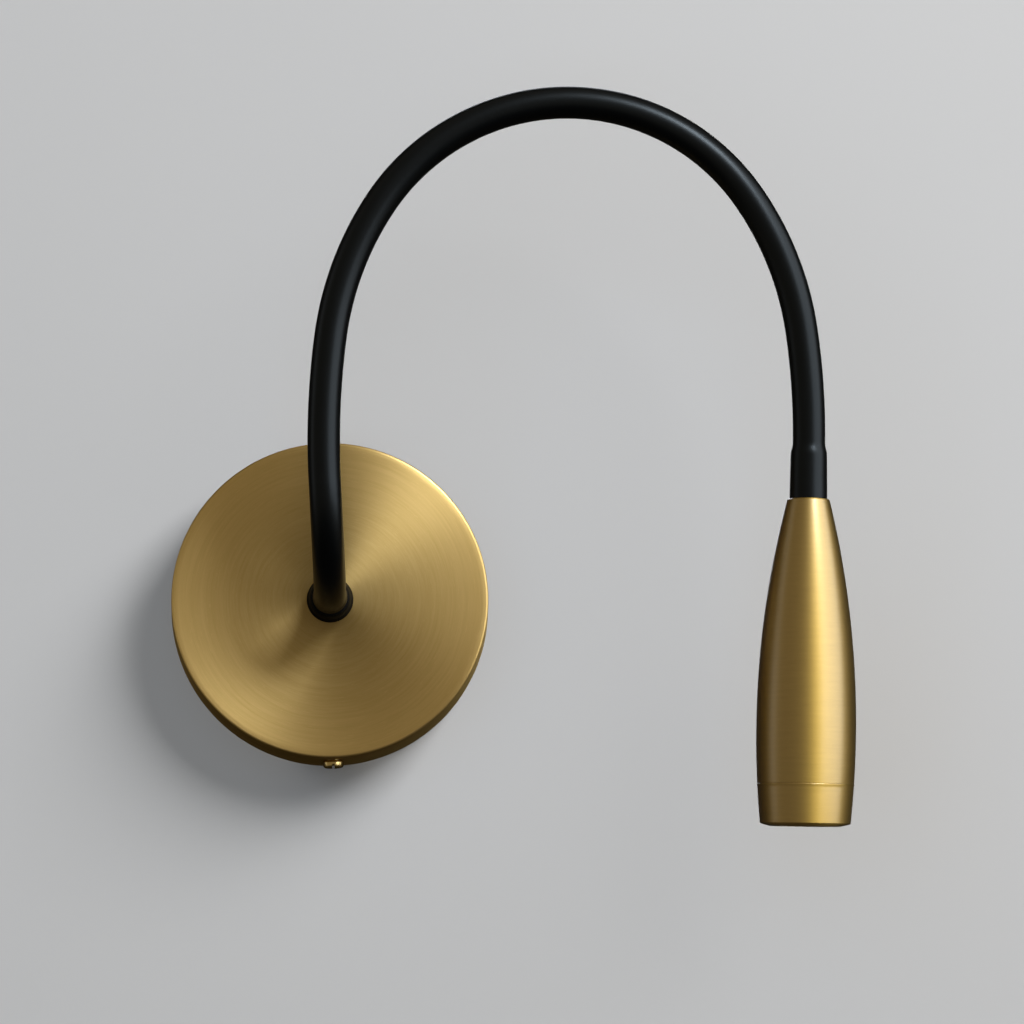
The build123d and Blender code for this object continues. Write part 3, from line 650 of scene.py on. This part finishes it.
# The other finishes: darker and lighter colour, metallic, roughness, grains per metre and relief
sleeve_silicone = mottled(
    "sleeve_silicone", (0.0004, 0.0005, 0.0008), (0.001, 0.0011, 0.0015), 0.0, 0.36, 2500.0, 0.08,
    **{"Specular IOR Level": 0.24, "Specular Tint": (0.86, 0.95, 1.0, 1)},
)
collar_black = mottled(
    "collar_black", (0.0008, 0.0008, 0.001), (0.002, 0.002, 0.0022), 0.0, 0.68, 3000.0, 0.05,
    **{"Specular IOR Level": 0.1},
)
lens_clear = mottled(
    "lens_clear", (0.93, 0.95, 0.96), (0.97, 0.98, 0.99), 0.0, 0.08, 1200.0, 0.05,
    **{"Transmission Weight": 1.0, "IOR": 1.49},
)
core_steel = mottled("core_steel", (0.3, 0.3, 0.31), (0.42, 0.42, 0.43), 1.0, 0.4, 1500.0, 0.2)
cable_black = mottled("cable_black", (0.015, 0.015, 0.016), (0.025, 0.025, 0.026), 0.0, 0.5, 2000.0, 0.1)

# Finishes of the nodes that keep their solids, by slot
inner_finishes = {
    "bracket_steel": ((0.42, 0.43, 0.45), (0.58, 0.59, 0.6), 1.0, 0.34, 900.0, 0.06),
    "fitting_steel": ((0.5, 0.5, 0.5), (0.66, 0.65, 0.63), 1.0, 0.28, 1500.0, 0.05),
    "small_screw_steel": ((0.48, 0.48, 0.5), (0.62, 0.62, 0.63), 1.0, 0.3, 3000.0, 0.05),
    "lead_insulation": ((0.32, 0.025, 0.02), (0.42, 0.04, 0.03), 0.0, 0.42, 2500.0, 0.05),
    "driver_plastic": ((0.62, 0.62, 0.6), (0.72, 0.72, 0.7), 0.0, 0.48, 1800.0, 0.12),
    "foam_pad": ((0.05, 0.05, 0.055), (0.09, 0.09, 0.095), 0.0, 0.85, 3500.0, 0.5),
    "terminal_plastic": ((0.72, 0.71, 0.66), (0.8, 0.79, 0.74), 0.0, 0.42, 2200.0, 0.06),
    "carrier_aluminium": ((0.6, 0.61, 0.62), (0.72, 0.73, 0.74), 1.0, 0.32, 1500.0, 0.08),
    "thermal_pad": ((0.3, 0.33, 0.36), (0.38, 0.41, 0.44), 0.0, 0.7, 2500.0, 0.2),
    "board_white": ((0.68, 0.69, 0.68), (0.78, 0.79, 0.78), 0.0, 0.35, 2500.0, 0.03),
    "emitter_yellow": ((0.75, 0.55, 0.06), (0.85, 0.66, 0.1), 0.0, 0.3, 4000.0, 0.1),
    "holder_black": ((0.012, 0.012, 0.013), (0.022, 0.022, 0.024), 0.0, 0.4, 2500.0, 0.1),
    "seal_rubber": ((0.015, 0.015, 0.015), (0.03, 0.03, 0.03), 0.0, 0.6, 3000.0, 0.2),
}
inner_materials = {slot: mottled(slot, *finish) for slot, finish in inner_finishes.items()}
for subpart in frame["record"]["subparts"]:
    finish = inner_materials.get(subpart["material_slot"])
    if finish:
        kept = nodes[subpart["node"]]
        kept.data.materials.clear()
        kept.data.materials.append(finish)


def dress(made, material, slot):
    """Gives a new piece its material; the slot argument is not used."""
    made.data.materials.append(material)
    return made


# Canopy: local Z runs from the wall to the front; its face falls away a little towards the rounded edge
canopy_inner = CANOPY_RADIUS - CANOPY_WALL
canopy_roll = []
for step in range(CANOPY_ROLL_STEPS, -1, -1):
    out = (1 - 2 * CANOPY_EDGE / CANOPY_ROLL) * step / CANOPY_ROLL_STEPS
    canopy_roll.append((CANOPY_RADIUS - CANOPY_ROLL * (1 - out), CANOPY_DEPTH - CANOPY_ROLL_DROP * out**2))
canopy = lathe("canopy", rounded([
    (CANOPY_RADIUS, 0, CANOPY_RIM_EDGE),
    (CANOPY_RADIUS, CANOPY_DEPTH - CANOPY_ROLL_DROP, CANOPY_EDGE),
    *canopy_roll,
    (CANOPY_HOLE, CANOPY_DEPTH),
    (CANOPY_HOLE, CANOPY_DEPTH - CANOPY_WALL),
    (canopy_inner, CANOPY_DEPTH - CANOPY_WALL, CANOPY_INNER_EDGE),
    (canopy_inner, 0, CANOPY_RIM_EDGE),
], CANOPY_CORNER_STEPS))
placed(canopy, (0, 0, 0), (0, -1, 0))
dress(canopy, canopy_brass, "canopy_brass")
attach(canopy, "canopy")
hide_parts("canopy_cover")


# Canopy screws: local Z runs out of the canopy
def canopy_screw(name, place_angle):
    """A slotted screw with a stepped head, at an angle round the canopy from its top."""
    neck_top = SCREW_NECK_HEIGHT
    head_top_height = neck_top + SCREW_HEAD_HEIGHT
    screw = lathe(name, rounded([
        (0, -SCREW_LENGTH),
        (SCREW_RADIUS, -SCREW_LENGTH, SCREW_EDGE),
        (SCREW_RADIUS, 0),
        (SCREW_NECK_RADIUS, 0),
        (SCREW_NECK_RADIUS, neck_top),
        (SCREW_HEAD_RADIUS, neck_top, SCREW_EDGE / 2),
        (SCREW_HEAD_RADIUS, head_top_height, SCREW_EDGE),
        (0, head_top_height),
    ]), SCREW_SIDES)
    half_width = SCREW_SLOT_WIDTH / 2
    half_length = 2 * SCREW_HEAD_RADIUS
    corners = []
    for x in (-half_width, half_width):
        for y in (-half_length, half_length):
            for z in (-SCREW_SLOT_DEPTH, SCREW_SLOT_DEPTH):
                corners.append((x, y, head_top_height + z))
    sides = [(0, 1, 3, 2), (4, 6, 7, 5), (0, 4, 5, 1), (2, 3, 7, 6), (0, 2, 6, 4), (1, 5, 7, 3)]
    cutter = make_object(name + "_cutter", corners, sides)
    cut = screw.modifiers.new("slot", "BOOLEAN")
    cut.object = cutter
    cut.operation = "DIFFERENCE"
    evaluated = screw.evaluated_get(bpy.context.evaluated_depsgraph_get())
    screw.data = bpy.data.meshes.new_from_object(evaluated)
    screw.modifiers.clear()
    bpy.data.objects.remove(cutter)
    screw.data.set_sharp_from_angle(angle=math.radians(SHARP_ANGLE))
    angle = math.radians(place_angle)
    outward = Vector((math.sin(angle), 0, math.cos(angle)))
    seat = outward * CANOPY_RADIUS + Vector((0, SCREW_SETBACK - CANOPY_DEPTH, 0))
    placed(screw, seat, outward)
    dress(screw, screw_brass, "screw_brass")
    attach(screw, "canopy")
    return screw


screws = [
    canopy_screw("canopy_screw_top", -SCREW_TWIST),
    canopy_screw("canopy_screw_bottom", 180 - SCREW_TWIST),
]
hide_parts("canopy_screws")

# Collar: local Z runs out of the canopy's front
collar_dome = []
for step in range(COLLAR_STEPS + 1):
    turn = math.pi / 2 * step / COLLAR_STEPS
    collar_dome.append((
        COLLAR_BORE + (COLLAR_RADIUS - COLLAR_BORE) * math.cos(turn),
        COLLAR_STRAIGHT + (COLLAR_LENGTH - COLLAR_STRAIGHT) * math.sin(turn),
    ))
collar = lathe("collar", rounded([
    (COLLAR_BORE, 0),
    (COLLAR_RADIUS, 0, COLLAR_FOOT_EDGE),
    *collar_dome,
]), COLLAR_SIDES)
placed(collar, exit_point, exit_heading)
dress(collar, collar_black, "collar_black")
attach(collar, "canopy")
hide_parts("base_collar")

# Neck layers: every piece spans its joint, from cut to cut. Each joint's reach, from the collar at the first to
# short of the head at the last, is worked out but not used.
layer_looks = {
    "sleeve": (sleeve_silicone, "sleeve_silicone"),
    "core": (core_steel, "core_steel"),
    "cable": (cable_black, "cable_black"),
}
for layer, _, _, outer, inner in layers:
    for index, places in enumerate(layer_places[layer]):
        joint = joints[index]
        piece = tube(f"neck_{layer}_{index + 1}", places, outer, inner)
        dress(piece, *layer_looks[layer])
        pivot = joint_places[index]
        reach_back = pivot - ([BASE_FLANGE] + cuts)[index]
        reach_on = (cuts + [2 * pivot - cuts[-1]])[index] - pivot
        start = neck_place(pivot - reach_back)[0] * MM
        end = neck_place(pivot + reach_on)[0] * MM
        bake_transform(piece)
        replaced = [f"neck_{layer}_{index + 1}"]
        if index == len(joints) - 1:
            replaced.append(f"neck_{layer}_{index + 2}")
        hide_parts(*replaced)

# Head: local Z runs from its top to its mouth
head_swell = HEAD_MAX_RADIUS - HEAD_TOP_RADIUS
head_arc_radius = (HEAD_MAX_AT**2 + head_swell**2) / (2 * head_swell)
ring_start = HEAD_LENGTH - RING_LENGTH
carrier_end = ring_start - RING_SPIGOT_LENGTH
carrier_start = carrier_end - CARRIER_THICKNESS
lip_start = HEAD_LENGTH - MOUTH_LIP
lens_end = lip_start - SEAL_SECTION
flange_start = lens_end - LENS_FLANGE


def head_radius(height):
    """Outer radius of the head at a distance below its top."""
    return HEAD_MAX_RADIUS - head_arc_radius + math.sqrt(head_arc_radius**2 - (height - HEAD_MAX_AT)**2)


def head_arc(start, end, steps):
    """Points of the head's outer arc between two distances below its top."""
    heights = [start + (end - start) * step / steps for step in range(steps + 1)]
    return [(head_radius(height), height) for height in heights]


ring_shoulder = []
for step in range(SHOULDER_STEPS + 1):
    turn = math.pi / 2 * step / SHOULDER_STEPS
    ring_shoulder.append((
        head_radius(ring_start) + SHOULDER_RISE - RING_GROOVE * (1 - math.sin(turn)),
        ring_start + RING_GROOVE * (1 - math.cos(turn)),
    ))
shell = lathe("head_shell_turned", rounded([
    (head_radius(0) - HEAD_CHAMFER, 0),
    *head_arc(HEAD_CHAMFER, ring_start, HEAD_STEPS),
    (RING_SPIGOT_RADIUS, ring_start),
    (RING_SPIGOT_RADIUS, carrier_start),
    (LOWER_CAVITY_RADIUS, carrier_start),
    (LOWER_CAVITY_RADIUS, UPPER_CAVITY_END + CAVITY_CONE),
    (UPPER_CAVITY_RADIUS, UPPER_CAVITY_END),
    (UPPER_CAVITY_RADIUS, SHELL_BORE_DEPTH + CAVITY_CONE),
    (SHELL_BORE, SHELL_BORE_DEPTH),
    (SHELL_BORE, 0),
]))
ring = lathe("head_front_ring", rounded([
    *ring_shoulder,
    *head_arc(ring_start + 2 * RING_GROOVE, HEAD_LENGTH - HEAD_CHAMFER, RING_STEPS),
    (head_radius(HEAD_LENGTH) - HEAD_CHAMFER, HEAD_LENGTH),
    (MOUTH_FUNNEL, HEAD_LENGTH, MOUTH_EDGE),
    (MOUTH_APERTURE, lip_start + MOUTH_LAND),
    (MOUTH_APERTURE, lip_start),
    (RING_BORE, lip_start),
    (RING_BORE, carrier_end),
    (RING_SPIGOT_RADIUS - FIT, carrier_end),
    (RING_SPIGOT_RADIUS - FIT, ring_start),
]))
lens_middle_radius = (LENS_FRONT_RADIUS + LENS_BACK_RADIUS) / 2 + LENS_FLANGE / 2
lens = lathe("lens_moulded", rounded([
    (0, lens_end),
    (LENS_FLANGE_RADIUS, lens_end),
    (LENS_FLANGE_RADIUS, flange_start),
    (LENS_FRONT_RADIUS, flange_start),
    (lens_middle_radius, (LENS_START + flange_start) / 2),
    (LENS_BACK_RADIUS, LENS_START),
    (LENS_POCKET_RADIUS, LENS_START),
    (LENS_POCKET_RADIUS, LENS_START + LENS_POCKET_DEPTH),
    (0, LENS_START + LENS_POCKET_DEPTH),
]))
for made, material, slot, node in (
    (shell, head_brass, "head_brass", "head_shell"),
    (ring, head_brass, "head_brass", "front_ring"),
    (lens, lens_clear, "lens_clear", "lens"),
):
    placed(made, head_top, head_axis)
    dress(made, material, slot)
    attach(made, "head")
    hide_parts(node)

# Wall: seen from the room side only, so that views from behind show the lamp's back.
# It does not show in the metal and throws no light back, so that what faces it stays dark.
wall_material, add = new_material("wall_paint")
paint_tone = plain_noise(add, PAINT_SCALE)
paint = mixed_colour(add, paint_tone, WALL_COLOUR, [value * PAINT_SPREAD for value in WALL_COLOUR])
painted = add("ShaderNodeBsdfDiffuse", {"Color": paint})
clear = add("ShaderNodeBsdfTransparent")
back_side = add("ShaderNodeNewGeometry").outputs["Backfacing"]
sides = add("ShaderNodeMixShader", {"Fac": back_side, 1: painted.outputs[0], 2: clear.outputs[0]})
finish_material(add, sides.outputs[0])
half_wall = WALL_SIZE / 2
wall_corners = [
    (-half_wall, 0, -half_wall),
    (half_wall, 0, -half_wall),
    (half_wall, 0, half_wall),
    (-half_wall, 0, half_wall),
]
wall = make_object("wall", wall_corners, [(0, 1, 2, 3)])
wall.data.materials.append(wall_material)
wall.visible_diffuse = False
wall.visible_shadow = False
wall.visible_glossy = False

# The brass throws no glow on the wall
canopy.visible_diffuse = False

# World: the room is light in front of the lamp, and dark behind and below it
world = bpy.data.worlds.new("studio")
scene.world = world
world.use_nodes = True
add = node_adder(world.node_tree)
direction = add("ShaderNodeTexCoord").outputs["Generated"]
split = add("ShaderNodeSeparateXYZ", {"Vector": direction})
shades = {}
for axis, (light_end, dark_end) in (("Y", ROOM_TURN), ("Z", ROOM_FLOOR)):
    fade = {"Value": split.outputs[axis], "From Min": light_end, "From Max": dark_end}
    shades[axis] = add("ShaderNodeMapRange", fade, interpolation_type="SMOOTHSTEP").outputs[0]
dark = add("ShaderNodeMath", {0: shades["Y"], 1: shades["Z"]}, operation="MAXIMUM").outputs[0]
room = mixed_colour(add, dark, ROOM_FRONT, ROOM_BACK)
world.node_tree.links.new(room, world.node_tree.nodes["Background"].inputs["Color"])


def softbox(
    name, azimuth, elevation, distance, size, radiance, colour,
    on_matt, in_reflections, tall_towards=(0, 0, 1),
):
    """A large soft light that faces the lamp; it lights matt surfaces, shows in glossy ones, or both."""
    light = bpy.data.lights.new(name, "AREA")
    light.shape = "RECTANGLE"
    light.size, light.size_y = size
    light.energy = radiance * math.pi * size[0] * size[1]
    light.color = colour
    made = bpy.data.objects.new(name, light)
    scene.collection.objects.link(made)
    level = math.cos(math.radians(elevation))
    turn = math.radians(azimuth)
    direction = Vector((level * math.sin(turn), -level * math.cos(turn), math.sin(math.radians(elevation))))
    made.location = LIGHT_TARGET + direction * distance
    tall = Vector(tall_towards)
    tall = (tall - direction * tall.dot(direction)).normalized()
    made.rotation_euler = Matrix((tall.cross(direction), tall, direction)).transposed().to_euler()
    made.visible_camera = False
    made.visible_diffuse = on_matt
    made.visible_glossy = in_reflections
    return made


# Lights for matt surfaces; on the wall only the canopy, the collar and the screws cast a shadow
wall_light = softbox(
    "wall_light", **WALL_LIGHT, on_matt=True, in_reflections=False, tall_towards=exit_heading,
)
casters = bpy.data.collections.new("wall_shadow")
for made in (canopy, collar, *screws):
    casters.objects.link(made)
wall_light.light_linking.blocker_collection = casters
softbox("fill_light", **FILL_LIGHT, on_matt=True, in_reflections=False)

# Lights that show in the metal and in the sleeve
softbox("key_light", **KEY_LIGHT, on_matt=False, in_reflections=True, tall_towards=exit_heading)
softbox("side_light", **SIDE_LIGHT, on_matt=False, in_reflections=True)
softbox("left_light", **LEFT_LIGHT, on_matt=False, in_reflections=True)

# Light from behind, for the lamp's back
softbox("back_light", **BACK_LIGHT, on_matt=True, in_reflections=True)

# Camera
camera_data = bpy.data.cameras.new("camera")
camera_data.lens = CAMERA_LENS
camera_data.sensor_width = CAMERA_SENSOR
camera = bpy.data.objects.new("camera", camera_data)
scene.collection.objects.link(camera)
camera.location = Vector(CAMERA_PLACE) * MM
camera.rotation_euler = (math.radians(90 + CAMERA_PITCH), 0, -math.radians(CAMERA_YAW))
scene.camera = camera
